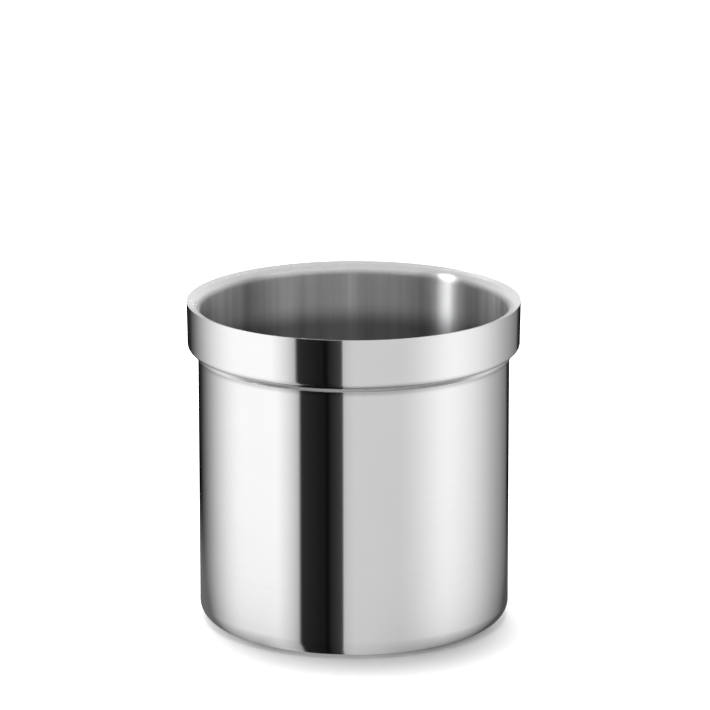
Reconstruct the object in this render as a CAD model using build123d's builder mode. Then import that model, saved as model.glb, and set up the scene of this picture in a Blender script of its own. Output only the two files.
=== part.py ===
# Stainless steel utensil crock
#
# A free-standing round crock in two pressed-steel pieces, which are welded and polished together:
#   vessel       the drawn cup, with its standing ring, rounded base corner and flared lip
#   collar_band  the deep band that hangs from the lip, turned in and down to grip the wall
#
# Millimetres, +Z up. The origin is the middle of the standing ring, on the surface it rests on.

from build123d import *
from math import cos, radians, tan
import os

# Crock as a whole
crock_height = 186.0
body_diameter = 177.2
rim_stand_out = 6.4          # how far the rim reaches out past the wall of the body

# Vessel
vessel_sheet = 0.9
base_corner_radius = 10.0    # outside of the rounded corner between base and wall
standing_ring_width = 8.1    # flat ring that the crock stands on, inside that corner
base_step_width = 4.0        # slope from the standing ring up to the flat middle of the base
base_step_bend_radius = 4.0
base_rise = 1.4              # the middle is pressed up, so that only the ring stands
lip_flare_radius = 5.5       # inside face of the wall, where it curves out to the lip
lip_slope = 17               # degrees that the lip rises towards its edge
rim_edge_radius = 0.25       # outermost top edge, eased off by polishing

# Collar band
collar_sheet = 0.8
collar_drop = 27.8           # from the rim down to the band's underside
collar_draft = 0.5           # the band is this much smaller in radius at its foot
collar_corner_radius = 3.4   # outside of the turn from the band's face to its underside
collar_underside_flat = 0.3  # flat left between that turn and the hollow one down to the neck
neck_clearance = 0.05        # slip fit of the neck on the wall, before the weld
neck_land = 0.15             # straight stretch of the neck that grips the wall
skirt_height = 2.0           # below the land the neck opens again, into a short skirt
skirt_stand_out = 0.5
skirt_bend_radius = 0.8
skirt_edge_radius = 0.25     # lower edge of the skirt, eased off by polishing

# What follows from these sizes
body_radius = body_diameter / 2
rim_radius = body_radius + rim_stand_out
base_panel_radius = body_radius - base_corner_radius - standing_ring_width - base_step_width
lip_rise_share = tan(radians(lip_slope))
lip_underside = crock_height - vessel_sheet / cos(radians(lip_slope))  # at the edge of the lip
lip_trim = vessel_sheet      # the lip is drawn this much too long, and then trimmed upright

band_foot_radius = rim_radius - collar_draft
band_underside = crock_height - collar_drop
neck_radius = body_radius + neck_clearance + collar_sheet
neck_fillet_radius = band_foot_radius - neck_radius - collar_corner_radius - collar_underside_flat
skirt_top = band_underside - neck_fillet_radius - neck_land
skirt_end = (neck_radius + skirt_stand_out, skirt_top - skirt_height)


# Vessel: the outer line of the sheet from the middle of the base to the edge of the lip,
# thickened inwards and turned about the crock's axis
with BuildPart() as vessel:
    with BuildSketch(Plane.XZ) as vessel_section:
        with BuildLine() as vessel_line:
            FilletPolyline(
                (0, base_rise),
                (base_panel_radius, base_rise),
                (base_panel_radius + base_step_width, 0),
                (body_radius, 0),
                (body_radius, lip_underside - rim_stand_out * lip_rise_share),
                (rim_radius + lip_trim, lip_underside + lip_trim * lip_rise_share),
                radius=[
                    base_step_bend_radius,
                    base_step_bend_radius,
                    base_corner_radius,
                    lip_flare_radius - vessel_sheet,
                ],
            )
            offset(amount=vessel_sheet, side=Side.LEFT)
        make_face()
        split(bisect_by=Plane.YZ.offset(rim_radius), keep=Keep.BOTTOM)
        fillet(vertices().sort_by_distance((rim_radius, crock_height))[0], rim_edge_radius)
    revolve(axis=Axis.Z)

vessel.part.label = "vessel"


# Collar band: its visible face from the lip down, round under itself, down along the wall and out
# in the skirt, thickened towards the wall and turned about the same axis
with BuildPart() as collar_band:
    with BuildSketch(Plane.XZ) as band_section:
        with BuildLine() as band_line:
            FilletPolyline(
                (rim_radius, lip_underside),
                (band_foot_radius, band_underside),
                (neck_radius, band_underside),
                (neck_radius, skirt_top),
                skirt_end,
                radius=[collar_corner_radius, neck_fillet_radius, skirt_bend_radius],
            )
            offset(amount=collar_sheet, side=Side.RIGHT)
        make_face()
        fillet(vertices().sort_by_distance(skirt_end)[0], skirt_edge_radius)
        # The lip slopes, so the band's top edge is trimmed to seat against its underside
        add(vessel_section.sketch_local, mode=Mode.SUBTRACT)
    revolve(axis=Axis.Z)

collar_band.part.label = "collar_band"


# Files, one for each piece
os.makedirs("parts", exist_ok=True)
for piece in (vessel.part, collar_band.part):
    export_step(piece, f"parts/{piece.label}.step")
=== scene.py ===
# %% [markdown]
# # A stainless steel utensil crock, dressed for a studio picture
#
# The crock is a drawn cup with a deep band welded round its top, and every face of it is polished sheet
# steel. Polished steel has almost no colour of its own. What the eye reads as "steel" is the room around it:
# white softboxes, the dark gap between them, and the fine lines that the polishing wheel leaves. So this
# lesson has two halves. One builds the room that the steel mirrors, and the other makes the two pieces, with
# true, thin sheets and rounded edges.
#
# The frame comes first. It holds the two solids at their real size, in metres, with +Z up and the origin in
# the middle of the base. The vessel's box is read off below, and the main sizes are printed against it.

# %% Load the frame
import math
import bpy
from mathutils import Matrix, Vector


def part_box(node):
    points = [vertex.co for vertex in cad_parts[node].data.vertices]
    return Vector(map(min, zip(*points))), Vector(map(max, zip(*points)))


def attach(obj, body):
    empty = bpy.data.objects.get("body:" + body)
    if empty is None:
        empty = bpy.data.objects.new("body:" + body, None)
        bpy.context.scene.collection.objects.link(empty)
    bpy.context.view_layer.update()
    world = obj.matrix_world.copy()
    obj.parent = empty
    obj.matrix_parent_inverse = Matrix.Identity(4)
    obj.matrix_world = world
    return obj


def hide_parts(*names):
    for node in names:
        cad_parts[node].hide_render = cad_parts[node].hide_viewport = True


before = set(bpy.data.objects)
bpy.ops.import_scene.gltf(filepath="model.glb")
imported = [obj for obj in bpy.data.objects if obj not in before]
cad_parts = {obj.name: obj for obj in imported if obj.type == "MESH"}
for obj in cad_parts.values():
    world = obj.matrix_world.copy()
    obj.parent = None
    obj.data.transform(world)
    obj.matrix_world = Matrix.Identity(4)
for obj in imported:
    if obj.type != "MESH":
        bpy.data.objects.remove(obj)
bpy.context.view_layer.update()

print("pieces in the frame:", sorted(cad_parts))

# %% [markdown]
# ## Sizes
#
# The sizes carry the same names as in the part's source, here in metres. A box can't tell a bend radius or
# the thickness of a sheet, so they are written again, and the print compares the two main ones with the
# frame's own box. The solid's rim is eased off at its edge, which takes 0.09 mm off the height.

# %% Sizes of the crock
MM = 0.001
TURN = 2 * math.pi

crock_height = 186.0 * MM
body_diameter = 177.2 * MM
rim_stand_out = 6.4 * MM
body_radius = body_diameter / 2
rim_radius = body_radius + rim_stand_out

vessel_sheet = 0.9 * MM
base_corner_radius = 10.0 * MM
standing_ring_width = 8.1 * MM
base_step_width = 4.0 * MM
base_step_bend_radius = 4.0 * MM
base_rise = 1.4 * MM
lip_flare_radius = 5.5 * MM
lip_slope = math.radians(17)
rim_edge_radius = 0.25 * MM

base_panel_radius = body_radius - base_corner_radius - standing_ring_width - base_step_width
lip_rise_share = math.tan(lip_slope)
lip_underside = crock_height - vessel_sheet / math.cos(lip_slope)

low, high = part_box("vessel")
print(f"rim: {2 * rim_radius / MM:.2f} mm here, {(high.x - low.x) / MM:.2f} mm in the frame")
print(f"height: {crock_height / MM:.2f} mm here, {high.z / MM:.2f} mm in the frame")

# %% Sizes of the collar band
collar_sheet = 0.8 * MM
collar_drop = 27.8 * MM
collar_draft = 0.5 * MM
collar_corner_radius = 3.4 * MM
collar_underside_flat = 0.3 * MM
neck_clearance = 0.05 * MM
neck_land = 0.15 * MM
skirt_height = 2.0 * MM
skirt_stand_out = 0.5 * MM
skirt_bend_radius = 0.8 * MM
skirt_edge_radius = 0.25 * MM

band_foot_radius = rim_radius - collar_draft
band_underside = crock_height - collar_drop
neck_radius = body_radius + neck_clearance + collar_sheet
neck_fillet_radius = band_foot_radius - neck_radius - collar_corner_radius - collar_underside_flat
skirt_top = band_underside - neck_fillet_radius - neck_land
skirt_end = (neck_radius + skirt_stand_out, skirt_top - skirt_height)
print(f"the skirt ends {(crock_height - skirt_end[1]) / MM:.2f} mm below the rim")

# %% [markdown]
# ## Camera
#
# The picture was taken from some way off with a long lens, so the wall's sides stay nearly parallel. The
# height of the camera shows in the rim: a circle seen from 14 degrees above is a flat ellipse.

# %% Camera
camera_distance = 2.957
camera_elevation = math.radians(14.407)
camera_roll = math.radians(-0.075)
camera_side_step = 0.7 * MM
aim_height = 153.3 * MM
sensor_width = 36.0
lens_length = 263.2

camera_data = bpy.data.cameras.new("studio_camera")
camera_data.sensor_width = sensor_width
camera_data.lens = lens_length
camera_data.clip_end = 5 * camera_distance
camera = bpy.data.objects.new("studio_camera", camera_data)
bpy.context.scene.collection.objects.link(camera)
camera.location = (
    camera_side_step,
    -camera_distance * math.cos(camera_elevation),
    aim_height + camera_distance * math.sin(camera_elevation),
)
camera.rotation_mode = "ZYX"
camera.rotation_euler = (math.pi / 2 - camera_elevation, 0, camera_roll)
bpy.context.scene.camera = camera
bpy.context.scene.view_settings.view_transform = "Standard"
print("camera at", [round(part, 3) for part in camera.location])

# %% [markdown]
# ## Node helpers
#
# Materials and the world are node trees. A few small helpers keep the later cells readable: one adds a node
# and sets its inputs, one does a sum, one ramps from 0 to 1 between two values, one blends two numbers, and
# one measures how far a place is from a middle.

# %% Helpers for node trees
def add_node(tree, kind, settings=None, **inputs):
    """Adds a node. An input is named by its socket, with _ for a space, or by its place: i0, i1 and so on."""
    node = tree.nodes.new(kind)
    for name, value in (settings or {}).items():
        setattr(node, name, value)
    for name, value in inputs.items():
        by_place = name[0] == "i" and name[1:].isdigit()
        socket = node.inputs[int(name[1:]) if by_place else name.replace("_", " ")]
        if isinstance(value, bpy.types.NodeSocket):
            tree.links.new(value, socket)
        else:
            socket.default_value = value
    return node


def math_node(tree, operation, *values):
    sockets = {f"i{place}": value for place, value in enumerate(values)}
    return add_node(tree, "ShaderNodeMath", {"operation": operation}, **sockets).outputs[0]


def ramp(tree, value, start, end, kind="SMOOTHSTEP"):
    settings = {"interpolation_type": kind}
    node = add_node(tree, "ShaderNodeMapRange", settings, Value=value, From_Min=start, From_Max=end)
    return node.outputs[0]


def blend(tree, share, first, second):
    return add_node(tree, "ShaderNodeMix", {"data_type": "FLOAT"}, i0=share, i2=first, i3=second).outputs[0]


def distance(tree, place, middle=(0, 0, 0)):
    settings = {"operation": "DISTANCE"}
    return add_node(tree, "ShaderNodeVectorMath", settings, i0=place, i1=middle).outputs["Value"]

# %% [markdown]
# ## The room that the steel mirrors
#
# A real set has a tall softbox on each side, a grey card in front, a black gap between card and left
# softbox, and black flags behind, which draw the dark lines down the two sides of the crock. Cards could be
# modelled as lit planes, but a world shader does it in one place and can't be bumped into. It works on the
# direction that a ray leaves in: the bearing round the crock, in degrees, with 0 towards the camera and the
# right-hand side positive, and the height above the horizon.
#
# The cards are taken as tall as the room and bent round the crock, so a stretch of wall and the rounded
# corner below it mirror the same card. That is what the shift by the camera's own direction does in the
# bearing.
#
# Only glossy rays see the cards. Diffuse rays get plain white light, and the camera sees a white backdrop.

# %% Direction of a ray
world = bpy.data.worlds.new("studio")
bpy.context.scene.world = world
world.use_nodes = True
room = world.node_tree
room.nodes.clear()

direction = add_node(room, "ShaderNodeTexCoord").outputs["Generated"]
parts = add_node(room, "ShaderNodeSeparateXYZ", Vector=direction)
shifted = math_node(room, "SUBTRACT", math.cos(camera_elevation), parts.outputs["Y"])
half_bearing = math_node(room, "ARCTAN2", parts.outputs["X"], shifted)
bearing = math_node(room, "MULTIPLY", math_node(room, "DEGREES", half_bearing), 2.0)
height = math_node(room, "DEGREES", math_node(room, "ARCSINE", parts.outputs["Z"]))
print("the bearing allows for a camera", round(math.degrees(camera_elevation), 1), "degrees up")

# %% Two ways to mark a stretch of the room
def between(left_start, left_full, right_full, right_end, along=bearing):
    """1 from left_full to right_full on the bearing, falling smoothly to 0 outside."""
    rise = ramp(room, along, left_start, left_full)
    fall = ramp(room, along, right_end, right_full)
    return math_node(room, "MULTIPLY", rise, fall)


def narrowed(middle, share):
    """The bearing, stretched about this middle for steeply falling rays: what lies there gets narrower."""
    steep = ramp(room, height, -35, -80)
    stretch = math_node(room, "MULTIPLY_ADD", steep, share, 1.0)
    return math_node(room, "MULTIPLY_ADD", math_node(room, "SUBTRACT", bearing, middle), stretch, middle)

# %% Softboxes, card, gap and flags
left_strength = 1.26
card_strength = 0.76
right_strength = 0.455
black_cloth = 0.03
card_left_edge = (-8.2, -7.4)

left_fall = math_node(room, "SQRT", ramp(room, bearing, -37.4, -58.8, "LINEAR"))
left_softbox = math_node(room, "MULTIPLY", ramp(room, bearing, -161, -88), left_fall)
right_softbox = between(29.8, 76.7, 66, 131)
card_tone = blend(room, ramp(room, bearing, -8, 0, "LINEAR"), 0.84, 1.0)
grey_card = math_node(room, "MULTIPLY", between(*card_left_edge, 92, 182), card_tone)
gap = between(-41.5, -38.9, *card_left_edge, along=narrowed(-23.5, 0.12))
no_gap = math_node(room, "SUBTRACT", 1.0, gap)
no_flag = between(-157.5, -151.5, 152, 160)

cards = black_cloth
sources = [(left_softbox, left_strength), (grey_card, card_strength), (right_softbox, right_strength)]
for mask, strength in sources:
    cards = math_node(room, "MULTIPLY_ADD", mask, strength, cards)
cards = math_node(room, "MULTIPLY", math_node(room, "MULTIPLY", cards, no_gap), no_flag)
print(len(sources), "cards, a gap between two of them, and flags behind")

# %% What little the gap and the flags give
# The gap is a black curtain. It is a little lighter at both ends, where the card and the softbox shine on
# it, and has one dark fold.
curtain_tone = 0.012
card_spill = 0.055
softbox_spill = 0.020
fold_depth = 0.008

near_card = math_node(room, "POWER", ramp(room, bearing, -20, -8, "LINEAR"), 1.4)
near_softbox = ramp(room, bearing, -24, -42, "LINEAR")
fold = between(-21.4, -20.4, -18.0, -16.6)
curtain = math_node(room, "MULTIPLY_ADD", near_card, card_spill, curtain_tone)
curtain = math_node(room, "MULTIPLY_ADD", near_softbox, softbox_spill, curtain)
curtain = math_node(room, "MULTIPLY_ADD", fold, -fold_depth, curtain)
in_curtain = between(-70, -42, -8.0, -7.0)
flags = math_node(room, "MULTIPLY", math_node(room, "SUBTRACT", 1.0, no_flag), black_cloth)
cards = math_node(room, "ADD", cards, flags)
cards = math_node(room, "MULTIPLY_ADD", curtain, in_curtain, cards)

# %% What is above the cards
# Higher up the studio has a white ceiling, which the lip mirrors. A row of bare lamps above the rim lights
# the inside of the crock: one hard light on the left, which draws a bright streak, and softer ones in front.
ceiling_strength = 0.76
front_strength = 0.25
back_strength = 0.95
hard_strength = 48.0
soft_strength = 4.0

behind = ramp(room, parts.outputs["Y"], -0.2, 0.5)
below_ceiling = blend(room, behind, front_strength, back_strength)
ceiling = blend(room, ramp(room, height, 12, 45), below_ceiling, ceiling_strength)
lamp_row = math_node(room, "MULTIPLY", ramp(room, height, 16, 18.5), ramp(room, height, 26, 20.5))
hard_light = between(-83, -77, -73, -67)
soft_lights = math_node(room, "MULTIPLY", between(-56, -44, 60, 80), soft_strength)
lamps = math_node(room, "MULTIPLY_ADD", hard_light, hard_strength, soft_lights)
above_cards = blend(room, ramp(room, height, -3, 9), cards, ceiling)
glossy_light = math_node(room, "MULTIPLY_ADD", lamp_row, lamps, above_cards)

# %% World output
diffuse_light = 0.33
backdrop_light = 1.0
ray = add_node(room, "ShaderNodeLightPath")
seen_by_surface = blend(room, ray.outputs["Is Glossy Ray"], diffuse_light, glossy_light)
strength = blend(room, ray.outputs["Is Camera Ray"], seen_by_surface, backdrop_light)
background = add_node(room, "ShaderNodeBackground", Color=(1, 1, 1, 1), Strength=strength)
add_node(room, "ShaderNodeOutputWorld", Surface=background.outputs[0])
print("the world has", len(room.nodes), "nodes")

# %% [markdown]
# ## Floor
#
# The floor is a wide sheet of white paper. It catches the lamp's soft shadow in front of the foot. A glow
# that only the camera sees stays weak in a pool just in front of the crock, a painted shadow that shapes it,
# and a hand's breadth further out the paper is as white as the backdrop, so no horizon shows.
#
# Glossy rays go through it to the cards, so the cards seem to reach down past the paper, as over a mirror
# table. A painted shade of the crock stays in what the steel mirrors: the nearer a point of the paper is to
# the crock, the less of the cards comes through. In front that only takes the edge off the base corner.
# Beside and behind the crock the paper glows a dark grey instead, a painted shade that draws the dark
# outline round the foot.
#
# From below the paper isn't there at all, so that the underside can be looked at. It lies a hair lower than
# the crock, as two faces in one place would flicker.

# %% Floor
floor_size = 12.0
floor_drop = 0.02 * MM
bpy.ops.object.select_all(action="DESELECT")
bpy.ops.mesh.primitive_plane_add(size=floor_size, location=(0, 0, -floor_drop))
bpy.ops.object.transform_apply(location=True)
floor = bpy.context.object
floor.name = "floor"

paper_material = bpy.data.materials.new("white_paper")
paper_material.use_nodes = True
floor.data.materials.append(paper_material)
paper = paper_material.node_tree
paper.nodes.clear()
ray = add_node(paper, "ShaderNodeLightPath")
place = add_node(paper, "ShaderNodeTexCoord").outputs["Object"]
from_axis = distance(paper, place)
print("floor", floor_size, "m wide")

# %% What the camera sees of it
# Painted shadow: the camera's glow is weak round a point just in front of the crock and whitens the paper
# further out.
painted_shadow_middle = (6 * MM, -39 * MM, 0)
painted_shadow_inner = 43 * MM
painted_shadow_outer = 139 * MM
paper_grey = 0.8
shadow_glow = 0.06
white_glow = 0.91

matt = add_node(paper, "ShaderNodeBsdfDiffuse", Color=(paper_grey, paper_grey, paper_grey, 1))
out_of_painted_shadow = ramp(paper, distance(paper, place, painted_shadow_middle), painted_shadow_inner, painted_shadow_outer)
white = math_node(paper, "MULTIPLY_ADD", out_of_painted_shadow, white_glow, shadow_glow)
glow = add_node(paper, "ShaderNodeEmission", Strength=white)
glowing = add_node(paper, "ShaderNodeAddShader", i0=matt.outputs[0], i1=glow.outputs[0])
is_camera = ray.outputs["Is Camera Ray"]
sheet = add_node(paper, "ShaderNodeMixShader", i0=is_camera, i1=matt.outputs[0], i2=glowing.outputs[0])

# %% The crock's painted shade
# How far a point lies outside the painted shade: in front measured from the foot, and at the sides from a
# nearly straight edge further out, where the wide rim keeps the cards' light off the paper.
painted_shade_middle = -6.5 * MM
front_edge = 81 * MM
side_edge = 115.5 * MM
side_spread_share = 0.2
half_lit = 15 * MM

spot = add_node(paper, "ShaderNodeSeparateXYZ", Vector=place)
forward = math_node(paper, "MULTIPLY", spot.outputs["Y"], -1.0)
sideways = math_node(paper, "ABSOLUTE", math_node(paper, "SUBTRACT", spot.outputs["X"], painted_shade_middle))
side_angle = math_node(paper, "ARCTAN2", sideways, forward)

in_front = math_node(paper, "SUBTRACT", from_axis, front_edge)
past_side_edge = math_node(paper, "SUBTRACT", sideways, side_edge)
at_the_side = math_node(paper, "MULTIPLY_ADD", forward, side_spread_share, past_side_edge)
outside = blend(paper, ramp(paper, side_angle, 0.85, 1.9), in_front, at_the_side)
outside = math_node(paper, "MAXIMUM", outside, 0.0)
lit = math_node(paper, "DIVIDE", outside, math_node(paper, "ADD", outside, half_lit))

# %% What the steel sees of it
front_let_through = 0.78
left_painted_shade = 0.16
right_painted_shade = 0.09

# Painted shade for the steel: near the crock the cards come through dimmer, and beside it the paper glows
# dark grey.
least = math_node(paper, "MULTIPLY", ramp(paper, side_angle, 0.9, 0.04), front_let_through)
clear = add_node(paper, "ShaderNodeBsdfTransparent", Color=blend(paper, lit, least, 1.0))
from_left = ramp(paper, spot.outputs["X"], -50 * MM, 50 * MM)
painted_shade_tone = blend(paper, from_left, left_painted_shade, right_painted_shade)
near_crock = ramp(paper, from_axis, 330 * MM, 110 * MM)
near_crock = math_node(paper, "MULTIPLY", near_crock, ramp(paper, side_angle, 0.6, 0.75))
unlit = math_node(paper, "MULTIPLY", math_node(paper, "SUBTRACT", 1.0, lit), near_crock)
shade = add_node(paper, "ShaderNodeEmission", Strength=math_node(paper, "MULTIPLY", painted_shade_tone, unlit))
through = add_node(paper, "ShaderNodeAddShader", i0=clear.outputs[0], i1=shade.outputs[0])

# %% Paper from above, nothing from below
# A ray that has come up through the paper goes back down through it as well.
beside_foot = math_node(paper, "GREATER_THAN", from_axis, body_radius - base_corner_radius)
see_through = math_node(paper, "MULTIPLY", ray.outputs["Is Glossy Ray"], beside_foot)
topside = add_node(paper, "ShaderNodeMixShader", i0=see_through, i1=sheet.outputs[0], i2=through.outputs[0])
came_up = math_node(paper, "GREATER_THAN", ray.outputs["Transparent Depth"], 0.5)
backfacing = add_node(paper, "ShaderNodeNewGeometry").outputs["Backfacing"]
from_below = math_node(paper, "MAXIMUM", backfacing, came_up)
nothing = add_node(paper, "ShaderNodeBsdfTransparent")
final = add_node(paper, "ShaderNodeMixShader", i0=from_below, i1=topside.outputs[0], i2=nothing.outputs[0])
add_node(paper, "ShaderNodeOutputMaterial", Surface=final.outputs[0])
print("the paper has", len(paper.nodes), "nodes")

# %% [markdown]
# ## Overhead lamp
#
# One softbox hangs over the back edge of the crock and draws the soft shadow, which falls forward and a
# little to the right. The steel doesn't mirror it, because the world already has a ceiling.

# %% Overhead lamp
lamp_width = 0.90
lamp_depth = 1.03
lamp_power = 22.2
lamp_place = (-0.10, 0.22, 1.5)

lamp_data = bpy.data.lights.new("overhead_softbox", "AREA")
lamp_data.shape = "RECTANGLE"
lamp_data.size = lamp_width
lamp_data.size_y = lamp_depth
lamp_data.energy = lamp_power
lamp = bpy.data.objects.new("overhead_softbox", lamp_data)
bpy.context.scene.collection.objects.link(lamp)
lamp.location = lamp_place
lamp.visible_glossy = False
print("softbox of", lamp_power, "W at", lamp_place)

# %% [markdown]
# ## Steel
#
# One steel, three finishes. Outside it is bright, with fine polishing lines that run round the crock, so
# highlights smear up and down but stay sharp from side to side: that is the anisotropy, along the UV map
# that each piece gets later. Inside, below the lip, and under the base it is satin, and the inside is
# painted darker further down, as painted shade deep in the cup. In the hollow under the band and in the
# seam under its skirt the grey is painted darker as well, as painted shade in those recesses.
#
# The polishing lines and the faint clouds that a cloth leaves are noise on the piece's own coordinates.
# Noise that is stretched far along the ground turns into lines that run round, and noise that is stretched
# upwards into streaks, with no seam anywhere.

# %% Base steel
steel_grey = 0.76
blue_share = 1.006
bright_roughness = 0.10
satin_roughness = 0.40
bright_grain = 0.85
satin_grain = 1.0


def steel(name, grain):
    """A metal shader that is smeared up the sheet, its tree, and the place on the piece as a socket."""
    material = bpy.data.materials.new(name)
    material.use_nodes = True
    tree = material.node_tree
    surface = tree.nodes["Principled BSDF"]
    surface.inputs["Metallic"].default_value = 1.0
    surface.inputs["Roughness"].default_value = bright_roughness
    surface.inputs["Anisotropic"].default_value = grain
    up_the_sheet = add_node(tree, "ShaderNodeTangent", {"direction_type": "UV_MAP", "uv_map": "wrap"})
    tree.links.new(up_the_sheet.outputs[0], surface.inputs["Tangent"])
    place = add_node(tree, "ShaderNodeTexCoord").outputs["Object"]
    return material, tree, surface, place


def height_of(tree, place):
    return add_node(tree, "ShaderNodeSeparateXYZ", Vector=place).outputs["Z"]


def grey(tree, surface, tone):
    """Uses a number as the steel's colour, very slightly blue."""
    blue = math_node(tree, "MULTIPLY", tone, blue_share)
    colour = add_node(tree, "ShaderNodeCombineColor", Red=tone, Green=tone, Blue=blue)
    tree.links.new(colour.outputs[0], surface.inputs["Base Color"])

# %% Lines, clouds and streaks
polish_depth = 0.002 * MM


def noise(tree, place, scale, detail, distortion=0.0):
    """Noise from 0 to 1. The scale is in waves per metre, along the ground and upwards."""
    stretched = add_node(tree, "ShaderNodeMapping", Vector=place, Scale=(scale[0], scale[0], scale[1]))
    settings = {"noise_dimensions": "3D"}
    waves = add_node(
        tree, "ShaderNodeTexNoise", settings,
        Vector=stretched.outputs[0], Scale=1.0, Detail=detail, Distortion=distortion,
    )
    return waves.outputs[0]


def varied(tree, tone, pattern, amount):
    """A tone that a pattern makes lighter and darker by this share of it."""
    swing = math_node(tree, "MULTIPLY_ADD", pattern, 2 * amount, 1 - amount)
    return math_node(tree, "MULTIPLY", tone, swing)


def polish(tree, surface, place, tone):
    """Fine polishing lines and faint clouds, in the tone and in a very low relief."""
    lines = noise(tree, place, (3, 900), 4)
    clouds = noise(tree, place, (22, 30), 3, 0.6)
    tone = varied(tree, varied(tree, tone, lines, 0.02), clouds, 0.02)
    relief = add_node(tree, "ShaderNodeBump", Strength=0.15, Distance=polish_depth, Height=lines)
    tree.links.new(relief.outputs[0], surface.inputs["Normal"])
    grey(tree, surface, tone)

# %% Outside of the vessel: bright, with painted shade in the seam under the skirt, satin underneath
seam_shade_grey = 0.42
foot_radius = body_radius - base_corner_radius

vessel_bright, tree, surface, place = steel("vessel_bright", bright_grain)
height_here = height_of(tree, place)
# Painted shade: the seam under the skirt is given a darker grey.
below_seam = ramp(tree, height_here, skirt_end[1], skirt_end[1] - 3.0 * MM, "LINEAR")
above_seam = ramp(tree, height_here, skirt_end[1] + 0.5 * MM, skirt_end[1] + 1.0 * MM)
out_of_painted_shade = math_node(tree, "MAXIMUM", below_seam, above_seam)
polish(tree, surface, place, blend(tree, out_of_painted_shade, seam_shade_grey, steel_grey))
underneath = ramp(tree, distance(tree, place), foot_radius, foot_radius - 1.5 * MM)
roughness = blend(tree, underneath, bright_roughness, satin_roughness)
tree.links.new(roughness, surface.inputs["Roughness"])
print(vessel_bright.name, "has", len(tree.nodes), "nodes")

# %% Band: bright, with painted shade in the hollow under it
hollow_shade_grey = 0.25
hollow_height = skirt_top + 1.0 * MM

band_bright, tree, surface, place = steel("band_bright", bright_grain)
height_here = height_of(tree, place)
# Painted shade: the hollow under the band is given a darker grey.
above_hollow = ramp(tree, height_here, hollow_height, hollow_height + 1.0 * MM, "LINEAR")
below_hollow = ramp(tree, height_here, hollow_height - 0.5 * MM, hollow_height - 1.6 * MM)
out_of_painted_shade = math_node(tree, "MAXIMUM", above_hollow, below_hollow)
polish(tree, surface, place, blend(tree, out_of_painted_shade, hollow_shade_grey, steel_grey))
print(band_bright.name, "has", len(tree.nodes), "nodes")

# %% Inside of the vessel: smoother and brighter lip, satin wall with streaks, painted shade further down
lip_roughness = 0.20
upper_wall_grey = 0.54
deep_shade_grey = 0.18
bottom_shade_grey = 0.22

vessel_satin, tree, surface, place = steel("vessel_satin", satin_grain)
height_here = height_of(tree, place)
on_lip = ramp(tree, height_here, crock_height - 5 * MM, crock_height - 1.5 * MM)
tree.links.new(blend(tree, on_lip, satin_roughness, lip_roughness), surface.inputs["Roughness"])

streaks = noise(tree, place, (110, 3), 2)
# Painted shade: the wall's grey falls towards the bottom of the cup, and the bottom is dark too.
upper_wall = ramp(tree, height_here, crock_height - 38 * MM, crock_height - 22 * MM)
wall_grey = varied(tree, blend(tree, upper_wall, deep_shade_grey, upper_wall_grey), streaks, 0.5)
up_the_wall = ramp(tree, height_here, 3 * MM, 15 * MM)
inside_grey = blend(tree, up_the_wall, bottom_shade_grey, wall_grey)
into_lip = ramp(tree, height_here, crock_height - 8 * MM, crock_height - 3 * MM)
grey(tree, surface, blend(tree, into_lip, inside_grey, steel_grey))
print(vessel_satin.name, "has", len(tree.nodes), "nodes")

# %% [markdown]
# ## Turned sheet
#
# Both pieces are turned shapes of thin sheet, so both are made the same way: one point is extruded along the
# line of the sheet, its corners are rounded by a vertex bevel, the wire is spun round the axis, and the
# surface gets the thickness of the sheet.

# %% Draw the line of the sheet
WELD = 0.001 * MM


def draw_line(name, points):
    """A wire through points, each a radius and a height."""
    bpy.ops.object.select_all(action="DESELECT")
    bpy.ops.mesh.primitive_plane_add(size=MM)
    bpy.context.object.name = name
    bpy.ops.object.mode_set(mode="EDIT")
    bpy.ops.mesh.merge(type="CENTER")
    bpy.ops.transform.translate(value=(points[0][0], 0, points[0][1]))
    for here, there in zip(points, points[1:]):
        step = (there[0] - here[0], 0, there[1] - here[1])
        bpy.ops.mesh.extrude_region_move(TRANSFORM_OT_translate={"value": step})
    bpy.ops.mesh.select_all(action="DESELECT")
    bpy.ops.object.mode_set(mode="OBJECT")
    return bpy.context.object


def round_corner(piece, points, index, radius, segments):
    """Rounds one corner. A bevel starts at the radius times the tangent of half the turn from its corner."""
    corner = Vector(points[index])
    turn = math.pi - (Vector(points[index - 1]) - corner).angle(Vector(points[index + 1]) - corner)
    for vertex in piece.data.vertices:
        vertex.select = (vertex.co.xz - corner).length < WELD
    bpy.ops.object.mode_set(mode="EDIT")
    bpy.ops.mesh.bevel(affect="VERTICES", offset=radius * math.tan(turn / 2), segments=segments)
    bpy.ops.mesh.select_all(action="DESELECT")
    bpy.ops.object.mode_set(mode="OBJECT")

# %% Spin it and give it thickness
turn_steps = 256


def spin_round(piece):
    """Spins the wire once round the axis, welds the seam and the pole, and points the faces outwards."""
    bpy.ops.object.mode_set(mode="EDIT")
    bpy.ops.mesh.select_all(action="SELECT")
    bpy.ops.mesh.spin(steps=turn_steps, angle=TURN, center=(0, 0, 0), axis=(0, 0, 1))
    bpy.ops.mesh.select_all(action="SELECT")
    bpy.ops.mesh.remove_doubles(threshold=WELD)
    bpy.ops.mesh.normals_make_consistent(inside=False)
    bpy.ops.object.mode_set(mode="OBJECT")
    largest = max(piece.data.polygons, key=lambda face: face.area)
    if largest.normal.dot(largest.center) < 0:
        bpy.ops.object.mode_set(mode="EDIT")
        bpy.ops.mesh.flip_normals()
        bpy.ops.object.mode_set(mode="OBJECT")


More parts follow.
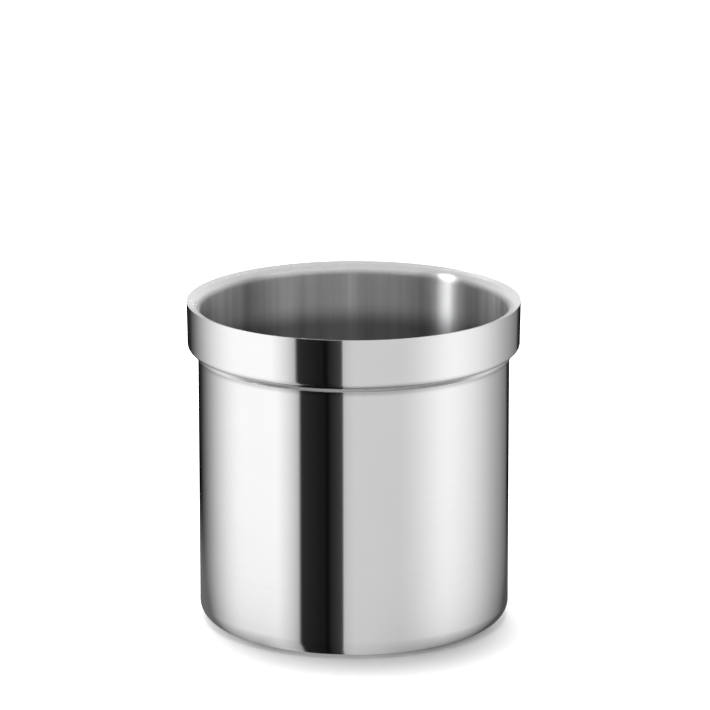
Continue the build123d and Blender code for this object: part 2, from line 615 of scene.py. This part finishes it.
def thicken(piece, thickness, inner_slot):
    modifier = piece.modifiers.new("sheet", "SOLIDIFY")
    modifier.thickness = thickness
    modifier.offset = -1
    modifier.use_even_offset = True
    modifier.material_offset = inner_slot
    bpy.ops.object.modifier_apply(modifier=modifier.name)


def turned_sheet(name, points, roundings, thickness, materials):
    """A turned sheet. With two materials, the second goes on the inner face."""
    piece = draw_line(name, points)
    for index, radius, segments in roundings:
        round_corner(piece, points, index, radius, segments)
    spin_round(piece)
    for material in materials:
        piece.data.materials.append(material)
    thicken(piece, thickness, len(materials) - 1)
    print(name, "has", len(piece.data.polygons), "faces")
    return piece

# %% Round an edge
SNAP = 0.05 * MM
edge_segments = 3


def round_ring(piece, radius, height, size):
    """Bevels the ring of edges that runs round the axis at this radius and height."""
    mesh = piece.data
    on_ring = [
        abs(vertex.co.xy.length - radius) < SNAP and abs(vertex.co.z - height) < SNAP
        for vertex in mesh.vertices
    ]
    for group in (mesh.vertices, mesh.edges, mesh.polygons):
        group.foreach_set("select", [False] * len(group))
    for edge in mesh.edges:
        edge.select = on_ring[edge.vertices[0]] and on_ring[edge.vertices[1]]
    bpy.ops.object.mode_set(mode="EDIT")
    bpy.ops.mesh.select_mode(type="EDGE")
    bpy.ops.mesh.bevel(offset=size, segments=edge_segments)
    bpy.ops.mesh.select_mode(type="VERT")
    bpy.ops.mesh.select_all(action="DESELECT")
    bpy.ops.object.mode_set(mode="OBJECT")

# %% [markdown]
# ## Smooth, wrap and hand over
#
# A mirror shows every flaw in its normals. Where a small bevel meets a large face, plain smooth shading
# bends the large face's mirror image too, so the weighted normals let the larger faces lead.
#
# The UV map tells the polishing lines their way: U runs up the section of the sheet, and V once round the
# crock. A face on the seam takes the turn that its own middle is on, and so does the point on the axis.

# %% Smooth, wrap and hand over
smooth_angle = math.radians(30)


def smooth(piece):
    bpy.ops.object.shade_smooth_by_angle(angle=smooth_angle)
    modifier = piece.modifiers.new("large_faces_lead", "WEIGHTED_NORMAL")
    modifier.keep_sharp = True
    bpy.ops.object.modifier_apply(modifier=modifier.name)


def wrap(piece):
    mesh = piece.data
    layer = mesh.uv_layers.new(name="wrap")
    for face in mesh.polygons:
        middle = math.atan2(face.center.y, face.center.x)
        for loop in face.loop_indices:
            place = mesh.vertices[mesh.loops[loop].vertex_index].co
            on_axis = place.xy.length < WELD
            around = middle if on_axis else math.atan2(place.y, place.x)
            around += TURN * round((middle - around) / TURN)
            layer.data[loop].uv = (place.z - place.xy.length, around / TURN)


def finish_piece(piece, node):
    smooth(piece)
    wrap(piece)
    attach(piece, "root")
    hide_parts(node)
    print(piece.name, "takes the place of", node)

# %% [markdown]
# ## Vessel
#
# The line runs from the middle of the base, down the pressed step to the standing ring, up the wall and out
# into the lip. The lip is drawn a little too long. Its end is then slid back along the slope, both faces to
# the same radius, which leaves the upright edge that the band is welded to.

# %% Vessel
def lip_height(radius):
    """The height of the lip's underside at this radius."""
    return lip_underside + (radius - rim_radius) * lip_rise_share


lip_end = rim_radius + vessel_sheet
vessel_points = [
    (0, base_rise),
    (base_panel_radius, base_rise),
    (base_panel_radius + base_step_width, 0),
    (body_radius, 0),
    (body_radius, lip_height(body_radius)),
    (lip_end, lip_height(lip_end)),
]
vessel_roundings = [
    (1, base_step_bend_radius, 4),
    (2, base_step_bend_radius, 4),
    (3, base_corner_radius, 16),
    (4, lip_flare_radius - vessel_sheet, 12),
]
vessel_finishes = [vessel_bright, vessel_satin]
vessel = turned_sheet("vessel_steel", vessel_points, vessel_roundings, vessel_sheet, vessel_finishes)
for vertex in vessel.data.vertices:
    overshoot = vertex.co.xy.length - rim_radius
    if overshoot > 0:
        vertex.co.z -= overshoot * lip_rise_share
        vertex.co.xy *= rim_radius / vertex.co.xy.length
round_ring(vessel, rim_radius, crock_height, rim_edge_radius)
finish_piece(vessel, "vessel")

# %% [markdown]
# ## Collar band
#
# The band starts at the edge of the lip and ends in the skirt round the wall. Its top edge is tilted to lie
# against the sloping underside of the lip.

# %% Collar band
band_points = [
    (rim_radius, lip_underside),
    (band_foot_radius, band_underside),
    (neck_radius, band_underside),
    (neck_radius, skirt_top),
    skirt_end,
]
band_roundings = [
    (1, collar_corner_radius, 12),
    (2, neck_fillet_radius, 10),
    (3, skirt_bend_radius, 4),
]
band = turned_sheet("collar_steel", band_points, band_roundings, collar_sheet, [band_bright])
for vertex in band.data.vertices:
    if vertex.co.z > lip_underside - WELD:
        vertex.co.z = lip_height(vertex.co.xy.length)
round_ring(band, *skirt_end, skirt_edge_radius)
finish_piece(band, "collar_band")
